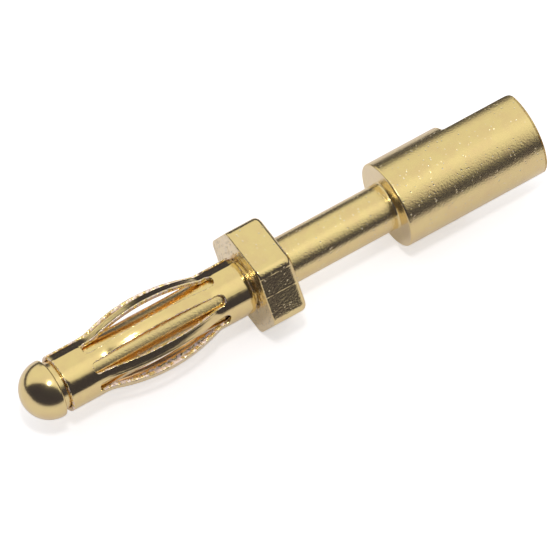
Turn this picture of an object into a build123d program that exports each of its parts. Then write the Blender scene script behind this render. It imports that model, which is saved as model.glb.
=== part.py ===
from build123d import *
import os
from math import asin, cos, radians, sin, sqrt, tan

# A 4 mm lantern-type banana plug with a solder cup. It is two pieces of metal:
# a turned, hex-flanged pin, and a slotted spring cage that is rolled from sheet
# and sprung over the pin's core, behind its nose.
#
# Frame: the pin's axis is X, with the nose at -X and the solder cup at +X. The
# origin is on the axis, at the face of the hex flange that meets the socket. The
# plug lies on one flat of the hex, so +Z is square to the two level flats.
# Lengths are in millimetres and angles in degrees.

# The nose of the pin, and the core behind it that carries the cage
nose_step = 0.34           # how far the nose stands out round the core
nose_land = 0.18           # the straight stretch behind the hemisphere
nose_rim_radius = 0.14
core_dia = 3.0
core_length = 13.27        # from the hex flange to the back of the nose

# The hex flange
hex_across_flats = 6.2
hex_thickness = 2.35
hex_corner_radius = 0.65   # along the six edges between the flats
hex_front_radius = 0.12    # round the face that meets the socket
hex_rear_radius = 0.4

# The shaft from the flange to the solder cup
shaft_dia = 3.0
shaft_length = 7.77

# The solder cup: a bored barrel, half of it cut away over its rear end
cup_dia = 5.5
cup_length = 9.76
cup_front_chamfer = 0.08
cup_rear_radius = 0.2
cup_bore_dia = 4.1
cup_bore_depth = 7.6       # of the full bore, without the cone of the drill's point
drill_point_angle = 118.0
cut_length = 4.86          # the stretch where half of the barrel is cut away
cut_root_radius = 0.15     # left by the cutter's corner
cut_corner_radius = 0.5    # on the two corners that the cut leaves at the rear
cut_direction = -120.0     # the way the open half faces, in line with a flat of the hex

# The spring cage: a rolled sleeve whose leaves, between its slots, bow outward
sheet_thickness = 0.25
cage_clearance = 0.06      # between the core and the inside of the sleeve
cage_rear_gap = 0.12       # between the sleeve and the flange
cage_front_gap = 0.4       # between the sleeve and the back of the nose
cage_front_chamfer = 0.06  # on the sleeve's outer edge beside the nose
cage_rear_chamfer = 0.15   # and beside the flange
leaf_count = 8
leaf_angle = 22.0          # how far round the axis one leaf reaches
leaf_direction = 16.5      # the middle of the first leaf
slot_front_inset = 1.87    # from the sleeve's front edge to the slots
slot_rear_inset = 1.82     # from the sleeve's rear edge to the slots
bow_height = 0.65
bow_front_inset = 0.4      # from the slots' front ends to where the leaves bend outward
bow_rear_inset = 0.56
bow_front_radius = 3.2     # the gentle bend at the front
bow_rear_radius = 0.8      # and the sharper one at the rear
seam_angle = 10.0          # the gap where the rolled sheet's two edges meet
seam_offset = 5.0          # from the middle of the slot that the seam runs into

# Stations along the axis
nose_radius = core_dia / 2 + nose_step
nose_back = -core_length
nose_centre = nose_back - nose_land
nose_tip = nose_centre - nose_radius
cage_front = nose_back + cage_front_gap
cage_rear = -cage_rear_gap
cup_front = hex_thickness + shaft_length
cup_rear = cup_front + cup_length
cut_wall = cup_rear - cut_length
bore_floor = cup_rear - cup_bore_depth
bore_point = bore_floor - cup_bore_dia / 2 / tan(radians(drill_point_angle / 2))

# The cage's section, from the core that it grips
cage_inner = core_dia / 2 + cage_clearance
cage_outer = cage_inner + sheet_thickness
cage_middle = cage_inner + sheet_thickness / 2
leaf_pitch = 360 / leaf_count
leaf_directions = [leaf_direction + leaf_pitch * i for i in range(leaf_count)]
slot_half_angle = (leaf_pitch - leaf_angle) / 2
seam_direction = leaf_direction - 1.5 * leaf_pitch + seam_offset

# The slots' straight sides end where their round ends begin
slot_round = cage_middle * tan(radians(slot_half_angle))
leaf_front = cage_front + slot_front_inset + slot_round
leaf_rear = cage_rear - slot_rear_inset - slot_round

# The bow is one long arc, joined to the straight ends by the two bends. Each bend
# is tangent to both, which gives where the arc's crown lies and how round it is.
bow_front = cage_front + slot_front_inset + bow_front_inset
bow_rear = cage_rear - slot_rear_inset - bow_rear_inset
bow_length = bow_rear - bow_front
crown_run = bow_length / 2 + bow_height * (bow_front_radius - bow_rear_radius) / bow_length
crown = bow_front + crown_run
bow_radius = (crown_run**2 / bow_height + bow_height) / 2 - bow_front_radius


def about_axis(shape, direction):
    """Turn a shape round the pin's axis, from straight up towards -Y."""
    return shape.rotate(Axis.X, direction)


def soften(face, operation, corners):
    """A face with the corners at the given (station, radius) points filleted or chamfered."""
    for place, size in corners:
        corner = face.vertices().sort_by_distance((*place, 0))[0]
        face = operation(corner, size)
    return face


def nose_and_core():
    """The hemispherical nose and the core behind it, as far as inside the flange."""
    core = core_dia / 2
    shoulder = (nose_centre, nose_radius)
    outline = ThreePointArc(
        (nose_tip, 0),
        (nose_centre - nose_radius * sqrt(0.5), nose_radius * sqrt(0.5)),
        shoulder,
    ) + Polyline(
        shoulder,
        (nose_back, nose_radius),
        (nose_back, core),
        (hex_thickness / 2, core),
        (hex_thickness / 2, 0),
        (nose_tip, 0),
    )
    rim = [((nose_back, nose_radius), nose_rim_radius)]
    return revolve(Plane.XZ * soften(make_face(outline), fillet, rim), Axis.X)


def shaft_and_cup():
    """The shaft from inside the flange, and the plain barrel of the solder cup."""
    shaft = shaft_dia / 2
    cup = cup_dia / 2
    outline = Polyline(
        (hex_thickness / 2, 0),
        (hex_thickness / 2, shaft),
        (cup_front, shaft),
        (cup_front, cup),
        (cup_rear, cup),
        (cup_rear, 0),
        close=True,
    )
    face = soften(make_face(outline), chamfer, [((cup_front, cup), cup_front_chamfer)])
    face = soften(face, fillet, [((cup_rear, cup), cup_rear_radius)])
    return revolve(Plane.XZ * face, Axis.X)


def hex_flange():
    """The hex, its edges and rims softened as on tumbled and plated brass."""
    flats = RegularPolygon(hex_across_flats / 2, 6, major_radius=False)
    flats = fillet(flats.vertices(), hex_corner_radius)
    flange = extrude(Plane.YZ * flats, hex_thickness)
    ends = flange.faces().sort_by(Axis.X)
    flange = fillet(ends[0].edges(), hex_front_radius)
    ends = flange.faces().sort_by(Axis.X)
    return fillet(ends[-1].edges(), hex_rear_radius)


def solder_bore():
    """The drilled hole in the cup, with the cone of the drill's point."""
    radius = cup_bore_dia / 2
    mouth = cup_rear + cup_rear_radius
    outline = Polyline(
        (bore_point, 0), (bore_floor, radius), (mouth, radius), (mouth, 0), close=True
    )
    return revolve(Plane.XZ * make_face(outline), Axis.X)


def cut_away():
    """The half of the barrel that is milled off its rear end, down to the axis."""
    reach = cup_dia
    corner_start = (cup_rear - cut_corner_radius, 0)
    corner_end = (cup_rear, -cut_corner_radius)
    slant = cut_corner_radius * (1 - sqrt(0.5))
    outline = Polyline((cut_wall, 0), corner_start)
    outline += ThreePointArc(corner_start, (cup_rear - slant, -slant), corner_end)
    outline += Polyline(
        corner_end,
        (cup_rear + reach, -cut_corner_radius),
        (cup_rear + reach, reach),
        (cut_wall, reach),
        (cut_wall, 0),
    )
    face = soften(make_face(outline), fillet, [((cut_wall, 0), cut_root_radius)])
    return about_axis(extrude(Plane.XZ * face, reach, both=True), cut_direction)


def make_pin_body():
    """The pin: one piece of turned brass, from its nose to its solder cup."""
    pin = nose_and_core() + hex_flange() + shaft_and_cup()
    return pin - solder_bore() - cut_away()


def radial_span(half_angle):
    """A triangle with its point on the axis, which covers the cage between two radial sides."""
    reach = 2 * cage_outer
    side = reach * tan(radians(half_angle))
    return make_face(Polyline((0, 0), (side, reach), (-side, reach), close=True))


def ring(front, rear, edge, bevel):
    """One end of the sleeve, with its outer edge at one station chamfered."""
    outline = Polyline(
        (front, cage_inner), (front, cage_outer), (rear, cage_outer), (rear, cage_inner), close=True
    )
    face = soften(make_face(outline), chamfer, [((edge, cage_outer), bevel)])
    sleeve = revolve(Plane.XZ * face, Axis.X)
    seam = extrude(Plane.YZ.offset(front) * radial_span(seam_angle / 2), rear - front)
    return sleeve - about_axis(seam, seam_direction)


def slot_ends():
    """The round ends of all slots: cones from the axis, so that their walls are radial."""
    reach = 2 * cage_outer
    side = reach * tan(radians(slot_half_angle))
    cone = revolve(Plane.XZ * make_face(Polyline((0, 0), (side, reach), (0, reach), close=True)), Axis.Z)
    return [
        about_axis(Pos(station, 0, 0) * cone, direction + leaf_pitch / 2)
        for station in (leaf_front, leaf_rear)
        for direction in leaf_directions
    ]


def leaf():
    """One leaf, straight up: the sleeve's section carried along the bow."""
    front_bend = asin(crown_run / (bow_radius + bow_front_radius))
    rear_bend = asin((bow_length - crown_run) / (bow_radius + bow_rear_radius))
    arc_floor = cage_middle + bow_height - bow_radius

    def on_bow(turn):
        return (crown + bow_radius * sin(turn), arc_floor + bow_radius * cos(turn))

    def on_bend(station, radius, turn):
        return (station + radius * sin(turn), cage_middle + radius * (1 - cos(turn)))

    path = Polyline((leaf_front, cage_middle), (bow_front, cage_middle))
    path += ThreePointArc(
        (bow_front, cage_middle),
        on_bend(bow_front, bow_front_radius, front_bend / 2),
        on_bow(-front_bend),
    )
    path += ThreePointArc(on_bow(-front_bend), on_bow(0), on_bow(rear_bend))
    path += ThreePointArc(
        on_bow(rear_bend),
        on_bend(bow_rear, bow_rear_radius, -rear_bend / 2),
        (bow_rear, cage_middle),
    )
    path += Polyline((bow_rear, cage_middle), (leaf_rear, cage_middle))

    section = (Circle(cage_outer) - Circle(cage_inner)) & radial_span(leaf_angle / 2)
    return sweep(Plane.YZ.offset(leaf_front) * section, Plane.XZ * path)


def make_spring_cage():
    """The cage: a ring at each end, joined by the bowed leaves, and split by the seam."""
    rings = ring(cage_front, leaf_front, cage_front, cage_front_chamfer)
    rings += ring(leaf_rear, cage_rear, cage_rear, cage_rear_chamfer)
    one_leaf = leaf()
    leaves = [about_axis(one_leaf, direction) for direction in leaf_directions]
    return rings - slot_ends() + leaves


os.makedirs("parts", exist_ok=True)
export_step(make_pin_body(), "parts/pin_body.step")
export_step(make_spring_cage(), "parts/spring_cage.step")
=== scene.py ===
import math
import bmesh
import bpy
import numpy as np
from mathutils import Matrix, Vector


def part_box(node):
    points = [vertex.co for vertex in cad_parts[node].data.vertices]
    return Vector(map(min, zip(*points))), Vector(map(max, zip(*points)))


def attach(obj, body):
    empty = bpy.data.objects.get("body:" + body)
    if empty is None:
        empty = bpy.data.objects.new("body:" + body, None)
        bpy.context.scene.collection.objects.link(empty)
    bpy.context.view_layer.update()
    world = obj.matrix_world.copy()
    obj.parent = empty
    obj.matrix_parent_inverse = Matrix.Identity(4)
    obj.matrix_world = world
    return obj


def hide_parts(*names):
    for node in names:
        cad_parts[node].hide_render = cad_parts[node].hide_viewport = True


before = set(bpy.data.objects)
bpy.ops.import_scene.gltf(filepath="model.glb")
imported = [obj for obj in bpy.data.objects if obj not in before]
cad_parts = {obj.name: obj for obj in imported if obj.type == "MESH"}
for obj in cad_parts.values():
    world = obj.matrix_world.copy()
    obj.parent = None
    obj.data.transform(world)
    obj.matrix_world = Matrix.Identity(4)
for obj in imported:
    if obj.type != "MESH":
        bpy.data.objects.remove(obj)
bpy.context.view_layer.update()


# The pin. One piece of free-cutting brass, turned from bar with a round nose, a
# hex flange and a bored solder cup, milled half away at its rear, then tumbled
# and plated with gold over nickel. Lengths are in millimetres, angles in degrees.
MM = 0.001
pin_low, pin_high = (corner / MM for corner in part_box("pin_body"))

nose_radius = 1.84
nose_land = 0.18            # the straight stretch behind the hemisphere
nose_rim = 0.14             # each rim, root, edge and corner is given by its rounding
core_radius = 1.5
hex_thickness = 2.35
hex_apothem = pin_high.z
hex_corner = 0.65
hex_front_rim = 0.12
hex_rear_rim = 0.4
shaft_length = 7.77
shaft_root = 0.13           # at the flange and at the cup
cup_radius = 2.75
cup_front_rim = 0.1
cup_rear_rim = 0.2
cup_milled_edge = 0.05
cup_bore_radius = 2.05
cup_bore_edge = 0.035
cup_bore_depth = 7.6
drill_point_angle = 118.0
milled_length = 4.86
milled_root = 0.15
milled_corner = 0.5
milled_direction = -120.0   # the way the open half faces, from straight up towards -Y

nose_centre = pin_low.x + nose_radius
nose_back = nose_centre + nose_land
cup_front = hex_thickness + shaft_length
cup_rear = pin_high.x
milled_wall = cup_rear - milled_length
bore_floor = cup_rear - cup_bore_depth
bore_point = bore_floor - cup_bore_radius / math.tan(math.radians(drill_point_angle / 2))

# How closely the mesh follows the shapes
turn_step = 3
corner_turn_step = 1.5
corner_steps = range(-4, 5)
barrel_spacing = 0.5
floor_spacing = 0.4
step_spacing = 0.1
step_margin = 1.0           # how far the close rings reach on each side of the milled step
rear_spacing = 0.075
rear_margin = 0.6
edge_turns = (30, 60, 90)   # along each rounded edge
support_reach = 0.08
merge_distance = 0.0002
sharp_angle = 45


def arc_profile(station, radius, bend, start, end, steps):
    """(station, radius) points along an arc of the turned outline, by angles from the axis."""
    turns = np.radians(np.linspace(start, end, steps + 1))
    return [(station + bend * math.cos(t), radius + bend * math.sin(t)) for t in turns]


# Columns of points run along the pin. They are closer at the hex's six corners.
pin_turns = set(range(0, 360, turn_step))
for corner_turn in range(30, 360, 60):
    pin_turns |= {corner_turn + corner_turn_step * step for step in corner_steps}
pin_turns = np.array(sorted(pin_turns))


def turned_ring(station, radius):
    """Points round the axis, from straight up towards -Y. The radius may differ by direction."""
    around = np.radians(pin_turns)
    return np.stack([station + 0 * around, -radius * np.sin(around), radius * np.cos(around)], axis=1)


def hex_outline(inset):
    """How far the rounded hex reaches in each direction, set in by a distance all round."""
    apothem = hex_apothem - inset
    corner = hex_corner - inset
    from_flat = np.radians((pin_turns + 30) % 60 - 30)
    corner_centre = (apothem - corner) / math.cos(math.radians(30))
    from_corner = math.radians(30) - np.abs(from_flat)
    on_corner = corner_centre * np.cos(from_corner) + np.sqrt(
        np.maximum(corner**2 - (corner_centre * np.sin(from_corner)) ** 2, 0)
    )
    flat_end = math.atan((apothem - corner) * math.tan(math.radians(30)) / apothem)
    return np.where(np.abs(from_flat) <= flat_end, apothem / np.cos(from_flat), on_corner)


def held(places):
    """Adds a point near each end of a straight run, which keeps the smooth shading straight there."""
    full = [places[0]]
    for here, there in zip(places, places[1:]):
        run = math.dist(here, there)
        if run > 4 * support_reach:
            for share in (support_reach / run, 1 - support_reach / run):
                full.append(tuple(a + (b - a) * share for a, b in zip(here, there)))
        full.append(there)
    return full


outline = arc_profile(nose_centre, 0, nose_radius, 180, 90, 26)
outline += arc_profile(nose_back - nose_rim, nose_radius - nose_rim, nose_rim, 90, 0, 5)
outline += [(nose_back, core_radius), (nose_back / 2, core_radius), (0, core_radius)]
hex_profile = arc_profile(hex_front_rim, hex_apothem - hex_front_rim, hex_front_rim, 180, 90, 6)
hex_profile += arc_profile(
    hex_thickness - hex_rear_rim, hex_apothem - hex_rear_rim, hex_rear_rim, 90, 0, 8
)
hex_insets = [(station, hex_apothem - radius) for station, radius in hex_profile]
shaft = arc_profile(hex_thickness + shaft_root, core_radius + shaft_root, shaft_root, 180, 270, 4)
shaft += arc_profile(cup_front - shaft_root, core_radius + shaft_root, shaft_root, 270, 360, 4)
shaft += arc_profile(cup_front + cup_front_rim, cup_radius - cup_front_rim, cup_front_rim, 180, 90, 4)
shaft.append((bore_floor, cup_radius))
pin_rings = [turned_ring(*place) for place in held(outline)]
pin_rings += [turned_ring(station, hex_outline(inset)) for station, inset in held(hex_insets)]
pin_rings += [turned_ring(*place) for place in held(shaft)]


def even_steps(start, end, spacing):
    """Stations from a start to just before an end, about a spacing apart."""
    return list(np.linspace(start, end, max(1, round(abs(end - start) / spacing)), endpoint=False))


def ease_corner(along, across, radius, reach):
    """Bends the even grid round an inner corner of a cut, which lies where both are positive."""
    depth = max(-along, -across)
    if depth < 0 or depth >= reach:
        return along, across
    size = (radius + depth) * (1 - depth / reach)
    run = (across if -along >= -across else along) + depth
    if run >= size:
        return along, across
    turn = math.radians(45) * (1 - run / size)
    near = size - depth - size * math.cos(turn)
    far = size - depth - size * math.sin(turn)
    return (near, far) if -along >= -across else (far, near)


def round_corner(from_end, from_side, radius):
    """Bends the even grid round an outer corner, from a point's distances to its two edges."""
    depth = min(from_end, from_side)
    size = radius - depth
    run = max(from_end, from_side) - depth
    if depth < 0 or run >= size:
        return from_end, from_side
    turn = math.radians(45) * (1 - run / size)
    near = radius - size * math.cos(turn)
    far = radius - size * math.sin(turn)
    return (near, far) if from_end <= from_side else (far, near)


# The barrel round the bore, its rings closer at the milled step and at the rear corners
cup_stations = [bore_floor]
cup_stations += even_steps(bore_floor + floor_spacing, milled_wall - step_margin, barrel_spacing)
cup_stations += even_steps(milled_wall - step_margin, milled_wall + step_margin, step_spacing)
cup_stations += even_steps(milled_wall + step_margin, cup_rear - rear_margin, barrel_spacing)
cup_stations += even_steps(cup_rear - rear_margin, cup_rear, rear_spacing) + [cup_rear]
from_milled_middle = (pin_turns - milled_direction + 180) % 360 - 180
past_milled_edge = np.abs(from_milled_middle) - 90
across_count = len(pin_turns)


def cup_skin(radius):
    """The barrel's inside or outside, its grid bent round the milled step and its rear corners."""
    points = []
    for station in cup_stations:
        for from_middle in from_milled_middle:
            across = radius * math.radians(90 - abs(from_middle))
            along, across = ease_corner(station - milled_wall, across, milled_root, 4 * milled_root)
            from_end, from_side = round_corner(milled_length - along, -across, milled_corner)
            side = math.copysign(90 + math.degrees(from_side / radius), from_middle)
            around = math.radians(milled_direction + side)
            points.append((cup_rear - from_end, -radius * math.sin(around), radius * math.cos(around)))
    return np.array(points)


def rounded_wall(quads, outside, inside, outside_round, inside_round, joined=()):
    """A wall between two skins, its free edges rounded: its points, faces and the edges' points."""
    edges = {(a, b) for quad in quads for a, b in zip(quad, quad[1:] + quad[:1])}
    free = sorted((a, b) for a, b in edges if (b, a) not in edges and not (a in joined and b in joined))
    after = dict(free)
    before = {b: a for a, b in free}
    points = [*outside, *inside]
    chains = {}
    for here in after:
        out, back = outside[here], inside[here]
        thickness = np.linalg.norm(out - back)
        starts = []
        for skin, size in ((outside, outside_round[here]), (inside, inside_round[here])):
            inward = []
            for a, b in ((before[here], here), (here, after[here])):
                side = np.cross(out - back, skin[b] - skin[a])
                inward.append(side / np.linalg.norm(side))
            mitre = (inward[0] + inward[1]) / max(1 + inward[0] @ inward[1], 0.5)
            starts.append(skin[here] + size * mitre)
        corners = [
            out + (back - out) * outside_round[here] / thickness,
            back + (out - back) * inside_round[here] / thickness,
        ]
        chain = [here]
        for start, corner, edge in ((starts[0], corners[0], out), (starts[1], corners[1], back)):
            centre = start + corner - edge
            bend = []
            for turn in np.radians(edge_turns):
                bend.append(
                    centre + (start - centre) * math.cos(turn) + (corner - centre) * math.sin(turn)
                )
            bend = bend if edge is out else bend[::-1]
            chain += range(len(points), len(points) + len(bend))
            points += bend
        chain.append(len(outside) + here)
        points[here], points[len(outside) + here] = starts
        chains[here] = chain
    faces = list(quads) + [tuple(len(outside) + i for i in quad[::-1]) for quad in quads]
    for a, b in free:
        for i in range(len(chains[a]) - 1):
            faces.append((chains[b][i], chains[a][i], chains[a][i + 1], chains[b][i + 1]))
    return np.array(points), faces, range(len(outside) + len(inside), len(points))


def grid_quad(row, column, count):
    """The quad from one point of a closed ring of points to the next ring."""
    beside = (column + 1) % count
    corners = [(row, column), (row, beside), (row + 1, beside), (row + 1, column)]
    return tuple(r * count + c for r, c in corners)


kept = past_milled_edge >= 0
cup_quads = []
for row, station in enumerate(cup_stations[:-1]):
    for column in range(across_count):
        if station < milled_wall - 0.01 or (kept[column] and kept[(column + 1) % across_count]):
            cup_quads.append(grid_quad(row, column, across_count))
at_rear = np.repeat(np.array(cup_stations) == cup_rear, across_count)
from_milled_edge = cup_radius * np.radians(past_milled_edge)
rear_rims = np.interp(from_milled_edge, [0, milled_corner], [cup_milled_edge, cup_rear_rim])
cup_wall = rounded_wall(
    cup_quads, cup_skin(cup_radius), cup_skin(cup_bore_radius),
    np.where(at_rear, np.tile(rear_rims, len(cup_stations)), cup_milled_edge),
    np.full(len(at_rear), cup_bore_edge), joined=range(across_count),
)


def turned_skin(rings):
    """The skin through closed rings of points, with no rounded edges."""
    quads = [grid_quad(row, c, across_count) for row in range(len(rings) - 1) for c in range(across_count)]
    return np.concatenate(rings), quads, []


def metal_mesh(name, parts):
    """One closed, smooth-shaded mesh from (points, faces, edge points) parts that meet."""
    points, faces, edge_points = [], [], []
    for part_points, part_faces, part_edge_points in parts:
        faces += [tuple(len(points) + i for i in face) for face in part_faces]
        edge_points += [len(points) + i for i in part_edge_points]
        points += [tuple(point * MM) for point in part_points]
    mesh = bpy.data.meshes.new(name)
    mesh.from_pydata(points, [], faces)
    edge = mesh.attributes.new("edge", "FLOAT", "POINT")
    for i in edge_points:
        edge.data[i].value = 1
    piece = bpy.data.objects.new(name, mesh)
    bpy.context.scene.collection.objects.link(piece)
    grid = bmesh.new()
    grid.from_mesh(mesh)
    loose = [vertex for vertex in grid.verts if not vertex.link_faces]
    bmesh.ops.delete(grid, geom=loose, context="VERTS")
    bmesh.ops.remove_doubles(grid, verts=grid.verts, dist=merge_distance * MM)
    bmesh.ops.recalc_face_normals(grid, faces=grid.faces)
    grid.to_mesh(mesh)
    grid.free()
    mesh.shade_smooth()
    mesh.set_sharp_from_angle(angle=math.radians(sharp_angle))
    weighted = piece.modifiers.new("even shading", "WEIGHTED_NORMAL")
    weighted.keep_sharp = True
    return piece


bore_rings = [turned_ring(bore_floor, cup_bore_radius), turned_ring(bore_point, 0)]
pin = metal_mesh("turned_pin", [turned_skin(pin_rings), cup_wall, turned_skin(bore_rings)])


def linear(hex_colour):
    """A colour for a shader socket, from its sRGB hex value."""
    parts = [int(hex_colour[i:i + 2], 16) / 255 for i in (1, 3, 5)]
    return tuple(p / 12.92 if p <= 0.04045 else ((p + 0.055) / 1.055) ** 2.4 for p in parts) + (1.0,)


def add_node(tree, kind, inputs=None, **settings):
    """Adds one node; an input is a constant, or another node's output to link from."""
    node = tree.nodes.new(kind)
    for name, value in settings.items():
        setattr(node, name, value)
    for name, value in (inputs or {}).items():
        if isinstance(value, bpy.types.NodeSocket):
            tree.links.new(value, node.inputs[name])
        else:
            node.inputs[name].default_value = value
    return node


def new_tree(owner):
    """An empty node tree for a material or world."""
    owner.use_nodes = True
    owner.node_tree.nodes.clear()
    return owner.node_tree


def calc(tree, operation, *values):
    """The result of one sum on numbers or node outputs."""
    return add_node(tree, "ShaderNodeMath", dict(enumerate(values)), operation=operation).outputs[0]


def product(tree, first, *others):
    """Numbers or node outputs multiplied together."""
    for other in others:
        first = calc(tree, "MULTIPLY", first, other)
    return first


def total(tree, first, *others):
    """Numbers or node outputs added up."""
    for other in others:
        first = calc(tree, "ADD", first, other)
    return first


def vector_calc(tree, operation, *values):
    """The result of one sum on vectors, which is a number for a length or a dot product."""
    node = add_node(tree, "ShaderNodeVectorMath", dict(enumerate(values)), operation=operation)
    return node.outputs["Value" if operation in ("LENGTH", "DOT_PRODUCT") else "Vector"]


def split(tree, vector):
    """A vector's X, Y and Z."""
    return tuple(add_node(tree, "ShaderNodeSeparateXYZ", {"Vector": vector}).outputs)


def ramp(tree, value, start, end, low=0.0, high=1.0):
    """A smooth step from low to high, while a value runs from a start to an end."""
    return add_node(tree, "ShaderNodeMapRange", {
        "Value": value, "From Min": start, "From Max": end, "To Min": low, "To Max": high,
    }, interpolation_type="SMOOTHSTEP").outputs["Result"]


def grain(tree, place, size, stretch=(1, 1, 1)):
    """Noise about zero, with grains of a size in mm, drawn out by a factor along each axis."""
    scaled = vector_calc(tree, "MULTIPLY", place, [1 / (size * MM * factor) for factor in stretch])
    noise = add_node(tree, "ShaderNodeTexNoise", {"Vector": scaled, "Scale": 1.0, "Detail": 2.0})
    return calc(tree, "SUBTRACT", noise.outputs["Fac"], 0.5)


def blend(tree, share, first, second):
    """A mix of two colours, each a constant or a node's output."""
    return add_node(tree, "ShaderNodeMix", {0: share, 6: first, 7: second}, data_type="RGBA").outputs[2]


def metal_surface(tree, colour, gloss, height):
    """Ends a metal's tree with its colour, roughness and relief, whose height is in mm."""
    relief = add_node(tree, "ShaderNodeBump", {"Height": height, "Distance": MM, "Strength": 1.0})
    shader = add_node(tree, "ShaderNodeBsdfPrincipled", {
        "Base Color": colour, "Metallic": 1.0, "Roughness": gloss, "Normal": relief.outputs["Normal"],
    })
    add_node(tree, "ShaderNodeOutputMaterial", {"Surface": shader.outputs["BSDF"]})


# The plate gives the eye pale gold, brighter on the nose and the hex and satin on the
# shaft and the cup, with the tumbling's grain and pits. The pits are painted near-white:
# painted glints. The faces square to the axis are painted paler: a painted reflection of
# the paper. The hex has the bar's draw lines and two scratches along it, and the turned
# faces have the tool's rings. The real grain is finer than a pixel, so it is drawn about
# three times too coarse and the pits twice.
plate_gold = linear("#EDD694")
plate_warm = linear("#E2C090")
plate_painted_paper_reflection = linear("#F0DFB4")
plate_painted_glint = linear("#FFF8E6")
pit_spacing = 0.26
hex_scratches = ((36.0, 0.009), (57.6, 0.006))   # the turn round the axis, and the height
scratch_half_width = math.radians(1.4)
ring_waver = (0.3, 0.3, 0.3)   # how far the tool's rings stray from true circles

plate = bpy.data.materials.new("gold_plated_turned_brass")
tree = new_tree(plate)
coordinates = add_node(tree, "ShaderNodeTexCoord")
place = coordinates.outputs["Object"]
along, beside, above = split(tree, place)
facing_along = calc(tree, "ABSOLUTE", split(tree, coordinates.outputs["Normal"])[0])
from_axis = vector_calc(tree, "LENGTH", vector_calc(tree, "MULTIPLY", place, (0, 1, 1)))
around = calc(tree, "ARCTAN2", product(tree, beside, -1.0), above)

# Where each finish shows: the satin behind the nose, the flange, and the faces square to the axis
satin = ramp(tree, along, -12 * MM, -6 * MM)
on_hex = product(tree, ramp(tree, along, -0.1 * MM, 0), ramp(tree, along, 2.5 * MM, 2.4 * MM))
on_face = product(
    tree, ramp(tree, facing_along, 0.9, 0.97), ramp(tree, along, -1 * MM, -0.5 * MM)
)

tumbled = product(tree, grain(tree, place, 0.13), calc(tree, "MULTIPLY_ADD", satin, 0.007, 0.003))
pit_grid = add_node(tree, "ShaderNodeTexVoronoi", {"Vector": place, "Scale": 1 / (pit_spacing * MM)})
in_pit = product(
    tree, ramp(tree, pit_grid.outputs["Distance"], 0.25, 0.08),
    satin, ramp(tree, grain(tree, place, 0.8), -0.1, 0.1),
)
pits = product(tree, in_pit, -0.014)
draw_lines = product(tree, grain(tree, place, 0.16, (2, 1, 1)), on_hex, 0.006)
scratch_strength = ramp(tree, grain(tree, place, 0.5), -0.15, 0.1, 0.3, 1)
scratches = []
for turn, depth in hex_scratches:
    aside = calc(tree, "ABSOLUTE", calc(tree, "SUBTRACT", around, math.radians(turn)))
    scratches.append(product(tree, ramp(tree, aside, scratch_half_width, 0), on_hex, depth))

# The tool's rings are deep on the flange's front and faint on the cup's, and some of
# the flange's stand out as strokes.
round_place = add_node(tree, "ShaderNodeCombineXYZ", {"X": from_axis}).outputs["Vector"]
wavering_place = vector_calc(
    tree, "ADD", round_place, vector_calc(tree, "MULTIPLY", place, ring_waver)
)
ring_pattern = grain(tree, wavering_place, 0.2)
tool_rings = product(tree, ring_pattern, on_face, ramp(tree, along, 1 * MM, 2 * MM, 0.035, 0.012))
strokes = product(
    tree, ramp(tree, ring_pattern, 0.08, 0.16), on_face, ramp(tree, along, 2 * MM, 1 * MM, 0, 0.04)
)

patches = ramp(tree, grain(tree, place, 0.9), -0.15, 0.25, 0, 0.35)
colour = blend(tree, patches, plate_gold, plate_warm)
# Faces square to the axis are painted paler: a painted reflection of the paper.
colour = blend(tree, product(tree, on_face, 0.5), colour, plate_painted_paper_reflection)
# The pits are tinted near-white: painted glints.
colour = blend(tree, product(tree, in_pit, 0.5), colour, plate_painted_glint)
gloss = calc(tree, "MULTIPLY_ADD", satin, 0.07, 0.18)
gloss = calc(tree, "MULTIPLY_ADD", on_hex, -0.06, gloss)
metal_surface(tree, colour, gloss, total(
    tree, tumbled, pits, draw_lines, tool_rings, strokes,
    product(tree, total(tree, *scratches), scratch_strength),
))
pin.data.materials.append(plate)
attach(pin, "root")
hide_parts("pin_body")


# The spring cage. A strip of beryllium copper, blanked with slots, rolled to a
# sleeve with an open seam, bowed out between its two plain ends, hardened and
# gold-plated. It grips the core behind the nose.
sheet_thickness = 0.25
cage_inner = 1.56
cage_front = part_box("spring_cage")[0].x / MM
cage_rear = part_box("spring_cage")[1].x / MM
cage_edge = 0.05            # these three round the strip's edges
cage_front_edge = 0.06
cage_rear_edge = 0.16
leaf_count = 8
leaf_direction = 16.5       # the middle of the first leaf
leaf_half_angle = 11.0
leaf_curl = 0.5             # how much of the sleeve's curve a leaf keeps where it bows
curl_lift = 0.1             # the bow over which it loses the rest
lowest_leaf = 3
lowest_leaf_share = 0.7     # that leaf is bowed less than the others
flat_half_angle = 12.5
slot_front_inset = 1.87
slot_rear_inset = 1.82
bow_height = 0.65
bow_front_inset = 0.4
bow_rear_inset = 0.56
bow_front_bend = 3.2
bow_rear_bend = 0.8
seam_slot = 7               # the slot that the seam runs into
seam_turns = (0, 10)        # the seam's two edges, from the middle of that slot

leaf_pitch = 360 / leaf_count
slot_half_angle = leaf_pitch / 2 - leaf_half_angle
cage_middle = cage_inner + sheet_thickness / 2
slot_round = cage_middle * math.tan(math.radians(slot_half_angle))
slot_front = cage_front + slot_front_inset
slot_rear = cage_rear - slot_rear_inset
bow_front = slot_front + bow_front_inset
bow_rear = slot_rear - bow_rear_inset
bow_length = bow_rear - bow_front
crown_run = bow_length / 2 + bow_height * (bow_front_bend - bow_rear_bend) / bow_length
crown = bow_front + crown_run
bow_radius = (crown_run**2 / bow_height + bow_height) / 2 - bow_front_bend


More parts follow.
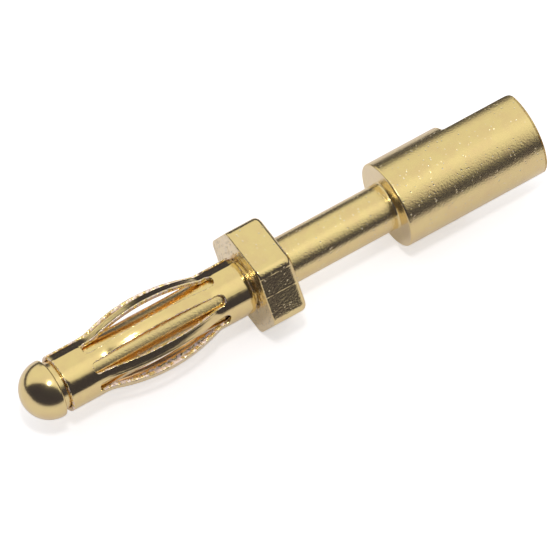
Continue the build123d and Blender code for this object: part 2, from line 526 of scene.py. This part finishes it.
def bow(station):
    """How far the leaves stand out at a station, and their slope there."""
    front_end = bow_front + crown_run * bow_front_bend / (bow_radius + bow_front_bend)
    rear_end = bow_rear - (bow_length - crown_run) * bow_rear_bend / (bow_radius + bow_rear_bend)
    if not bow_front < station < bow_rear:
        return 0, 0
    if station < front_end:
        slope = math.asin((station - bow_front) / bow_front_bend)
        return bow_front_bend * (1 - math.cos(slope)), slope
    if station > rear_end:
        slope = -math.asin((bow_rear - station) / bow_rear_bend)
        return bow_rear_bend * (1 - math.cos(slope)), slope
    slope = math.asin((crown - station) / bow_radius)
    return bow_height - bow_radius * (1 - math.cos(slope)), slope


# Columns go round from the middle of each slot, first across it and then over the leaf.
# Rings of points are closer at the slots' ends.
slot_columns = [-slot_half_angle, *range(-10, 11, 2), slot_half_angle]
leaf_columns = list(np.linspace(slot_half_angle, leaf_pitch - slot_half_angle, 9))[1:-1]
cage_columns = [(slot, turn) for slot in range(leaf_count) for turn in slot_columns + leaf_columns]
column_count = len(cage_columns)
plain_spacing = 0.3
slot_end_spacing = 0.07
slot_end_margin = 0.5
bow_spacing = 0.15
cage_stations = even_steps(cage_front, slot_front - slot_end_margin, plain_spacing)
cage_stations += even_steps(slot_front - slot_end_margin, bow_front, slot_end_spacing)
cage_stations += even_steps(bow_front, bow_rear, bow_spacing)
cage_stations += even_steps(bow_rear, slot_rear + slot_end_margin, slot_end_spacing)
cage_stations += even_steps(slot_rear + slot_end_margin, cage_rear, plain_spacing) + [cage_rear]


def cage_skin(radius):
    """The strip's inside or outside, rolled and bowed. One leaf is left flat beside the seam."""
    points = []
    chord = math.cos(math.radians(flat_half_angle))
    for station in cage_stations:
        for slot, turn in cage_columns:
            past_leaf = turn > leaf_pitch / 2
            from_side = turn - leaf_pitch if past_leaf else turn
            across = slot_round * (1 - abs(from_side) / slot_half_angle)
            from_front, from_rear = station - slot_front, slot_rear - station
            along = min(from_front, from_rear)
            eased, across = ease_corner(along, across, slot_round, slot_round * 0.95)
            moved = station + (eased - along if along == from_front else along - eased)
            turned = math.copysign(slot_half_angle * (1 - across / slot_round), from_side)
            after_slot = from_side > 0
            leaf = slot if after_slot or past_leaf else slot - 1
            aside = turned - leaf_pitch / 2 if after_slot else turned + leaf_pitch / 2
            bow_lift, slope = bow(moved)
            if leaf == lowest_leaf:
                bow_lift *= lowest_leaf_share
                slope *= lowest_leaf_share
            curl = 0 if leaf == seam_slot else 1 - (1 - leaf_curl) * min(bow_lift / curl_lift, 1)
            rise = math.cos(math.radians(aside)) - chord
            lift = radius * (chord + (rise * curl if rise > 0 else rise)) - cage_middle
            side = radius * math.sin(math.radians(aside))
            reach = cage_middle + bow_lift + lift * math.cos(slope)
            middle = math.radians(leaf_direction + leaf_pitch * leaf)
            points.append((
                moved - lift * math.sin(slope),
                -reach * math.sin(middle) - side * math.cos(middle),
                reach * math.cos(middle) - side * math.sin(middle),
            ))
    return np.array(points)


cage_quads = []
for row, (station, next_station) in enumerate(zip(cage_stations, cage_stations[1:])):
    for column, (slot, turn) in enumerate(cage_columns):
        in_slot = turn < slot_half_angle - 0.01
        between_slots_ends = station > slot_front - 0.01 and next_station < slot_rear + 0.01
        in_seam = slot == seam_slot and seam_turns[0] <= turn < seam_turns[1]
        if not (in_slot and between_slots_ends) and not in_seam:
            cage_quads.append(grid_quad(row, column, column_count))
stations_of_points = np.repeat(cage_stations, column_count)
outside_round = np.full(len(stations_of_points), cage_edge)
outside_round[stations_of_points == cage_front] = cage_front_edge
outside_round[stations_of_points == cage_rear] = cage_rear_edge
cage = metal_mesh("spring_leaves", [rounded_wall(
    cage_quads, cage_skin(cage_inner + sheet_thickness), cage_skin(cage_inner),
    outside_round, np.full(len(outside_round), cage_edge),
)])

# The same plate gives the eye a brighter gold on the strip: it is smooth, with faint
# lines from the rolling mill along it and slight waves. Its inward faces are painted a
# deeper gold, a painted reflection of the gold around them. Its sheared edges are
# painted pale in spots as painted glints, and are dull and sharp-grained in turn, so that
# they sparkle. The real burrs are finer than a pixel, so they are drawn about four times
# too coarse.
strip_gold = linear("#EDD592")
strip_warm = linear("#E2C08E")
strip_painted_reflection = linear("#FFCC7E")
strip_painted_glint = linear("#FFEDE4")

spring = bpy.data.materials.new("gold_plated_spring_copper")
tree = new_tree(spring)
coordinates = add_node(tree, "ShaderNodeTexCoord")
place = coordinates.outputs["Object"]
outward = vector_calc(tree, "NORMALIZE", vector_calc(tree, "MULTIPLY", place, (0, 1, 1)))
facing_outward = vector_calc(tree, "DOT_PRODUCT", outward, coordinates.outputs["Normal"])
inside_reflection_share = ramp(tree, facing_outward, -0.1, -0.6)
on_edge = add_node(tree, "ShaderNodeAttribute", attribute_name="edge").outputs["Fac"]
fine_grain = grain(tree, place, 0.3)

mill_lines = product(tree, grain(tree, place, 0.12, (14, 1, 1)), 0.0035)
waves = product(tree, grain(tree, place, 1.3), 0.015)
burrs = product(tree, grain(tree, place, 0.28), on_edge, 0.1)
patches = ramp(tree, grain(tree, place, 0.6), -0.15, 0.25, 0, 0.3)
# Pale spots along the sheared edges: painted glints.
painted_glint_on_edge = product(tree, on_edge, ramp(tree, fine_grain, -0.06, 0.08, 0, 0.9))
dull_on_edge = product(tree, on_edge, ramp(tree, fine_grain, -0.06, 0.08, 0.1, 0.4))
colour = blend(tree, patches, strip_gold, strip_warm)
# Faces turned inward get a deeper orange gold: a painted reflection.
colour = blend(tree, inside_reflection_share, colour, strip_painted_reflection)
# The edges are tinted pale in spots: painted glints.
colour = blend(tree, painted_glint_on_edge, colour, strip_painted_glint)
gloss = total(tree, calc(tree, "MULTIPLY_ADD", fine_grain, 0.08, 0.12), dull_on_edge)
metal_surface(tree, colour, gloss, total(tree, mill_lines, waves, burrs))
cage.data.materials.append(spring)
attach(cage, "root")
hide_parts("spring_cage")


# The floor: a sheet of white paper. The camera sees it as plain white with the
# plug's soft shadow on it. The metal reflects it as bright paper that ends in the
# dim room, on the camera's and the nose's side and behind the plug.
room_colour = linear("#424257")
paper_for_camera = linear("#F4F2F4")
paper_for_metal = linear("#E8E6F8")
toward_room = (-0.35, -0.94, 0)
floor_width = 1.2

paper = bpy.data.materials.new("white_paper")
tree = new_tree(paper)
ray = add_node(tree, "ShaderNodeLightPath")
seen_directly = ray.outputs["Is Camera Ray"]
paper_light = add_node(tree, "ShaderNodeBsdfPrincipled", {
    "Base Color": blend(tree, seen_directly, paper_for_metal, paper_for_camera),
    "Roughness": 0.9, "Specular IOR Level": 0.0, "Emission Color": linear("#FFFFFF"),
    "Emission Strength": calc(tree, "MULTIPLY_ADD", seen_directly, 0.36, 0.175),
})
paper_place = add_node(tree, "ShaderNodeTexCoord").outputs["Object"]
paper_x, paper_y = split(tree, paper_place)[:2]
on_room_side = ramp(
    tree, vector_calc(tree, "DOT_PRODUCT", paper_place, toward_room), 14 * MM, 42 * MM
)
past_cup = product(
    tree, ramp(tree, paper_x, 34 * MM, 42 * MM), ramp(tree, paper_y, -16 * MM, -8 * MM)
)
behind_plug = ramp(tree, paper_y, 20 * MM, 28 * MM)
past_paper = calc(tree, "MAXIMUM", on_room_side, calc(tree, "MAXIMUM", past_cup, behind_plug))
paper_dim = add_node(tree, "ShaderNodeEmission", {"Color": room_colour, "Strength": 1.0})
paper_look = add_node(tree, "ShaderNodeMixShader", {
    0: product(tree, past_paper, ray.outputs["Is Glossy Ray"]),
    1: paper_light.outputs["BSDF"], 2: paper_dim.outputs["Emission"],
})
add_node(tree, "ShaderNodeOutputMaterial", {"Surface": paper_look.outputs["Shader"]})
bpy.ops.mesh.primitive_plane_add(size=floor_width, location=(0, 0, pin_low.z * MM))
floor = bpy.context.object
floor.name = "floor"
floor.data.materials.append(paper)


# The studio: one wide soft light overhead, behind the plug and past its cup. It has
# a soft edge to the dark room on the nose's and the camera's side, and a dark gap
# under it at the horizon, which is wide past the cup and thin elsewhere. A haze
# brightens it a little overhead, and one small round lamp hangs above the plug.
soft_light_colour = linear("#F1F1EF")
soft_light_middle = Vector((0.764, 0.637, 0.103)).normalized()
haze_middle = Vector((0.2, -0.3, 0.93)).normalized()

world = bpy.data.worlds.new("studio")
bpy.context.scene.world = world
tree = new_tree(world)
sky_direction = add_node(tree, "ShaderNodeTexCoord").outputs["Generated"]
sky_x, _, sky_z = split(tree, sky_direction)
in_soft_light = ramp(
    tree, vector_calc(tree, "DOT_PRODUCT", sky_direction, soft_light_middle), -0.261, -0.139
)
above_wide_gap = ramp(tree, sky_z, 0.24, 0.46)
above_thin_gap = product(tree, ramp(tree, sky_x, 0.25, 0.12), ramp(tree, sky_z, 0.02, 0.12))
above_gap = calc(tree, "MAXIMUM", above_wide_gap, above_thin_gap)
haze = ramp(tree, vector_calc(tree, "DOT_PRODUCT", sky_direction, haze_middle), 0.92, 1.0)
sky = add_node(tree, "ShaderNodeBackground", {
    "Color": blend(tree, product(tree, in_soft_light, above_gap), room_colour, soft_light_colour),
    "Strength": calc(tree, "MULTIPLY_ADD", haze, 0.15, 1.0),
})
add_node(tree, "ShaderNodeOutputWorld", {"Surface": sky.outputs["Background"]})

lamp_direction = Vector((-0.11, -0.21, 0.97)).normalized()
lamp_distance = 0.4
lamp_data = bpy.data.lights.new("round_lamp", "AREA")
lamp_data.shape = "DISK"
lamp_data.size = 0.05
lamp_data.energy = 0.3
lamp = bpy.data.objects.new("round_lamp", lamp_data)
bpy.context.scene.collection.objects.link(lamp)
lamp.location = lamp_direction * lamp_distance
lamp.rotation_euler = lamp_direction.to_track_quat("Z", "Y").to_euler()


# The camera, at the photograph's viewing angle. It looks down along the plug
# from the nose's side, far off, through a long lens.
camera_target = Vector((1.997, -0.424, -0.270)) * MM
camera_distance = 390.8 * MM
camera_turn = math.radians(30.27)
camera_drop = math.radians(55.91)
camera_roll = math.radians(-2.744)
photo_width = 551
focal_pixels = 6596
camera_data = bpy.data.cameras.new("camera")
camera_data.sensor_width = 36
camera_data.lens = focal_pixels / photo_width * camera_data.sensor_width
camera_data.clip_start = 0.01
camera_data.clip_end = 10
camera = bpy.data.objects.new("camera", camera_data)
bpy.context.scene.collection.objects.link(camera)
view = Vector((
    math.cos(camera_drop) * math.sin(camera_turn),
    math.cos(camera_drop) * math.cos(camera_turn),
    -math.sin(camera_drop),
))
level = Vector((math.cos(camera_turn), -math.sin(camera_turn), 0))
upright = level.cross(view)
right = math.cos(camera_roll) * level + math.sin(camera_roll) * upright
up = -math.sin(camera_roll) * level + math.cos(camera_roll) * upright
pose = Matrix((right, up, -view)).transposed().to_4x4()
pose.translation = camera_target - camera_distance * view
camera.matrix_world = pose
bpy.context.scene.camera = camera
bpy.context.scene.view_settings.view_transform = "Standard"
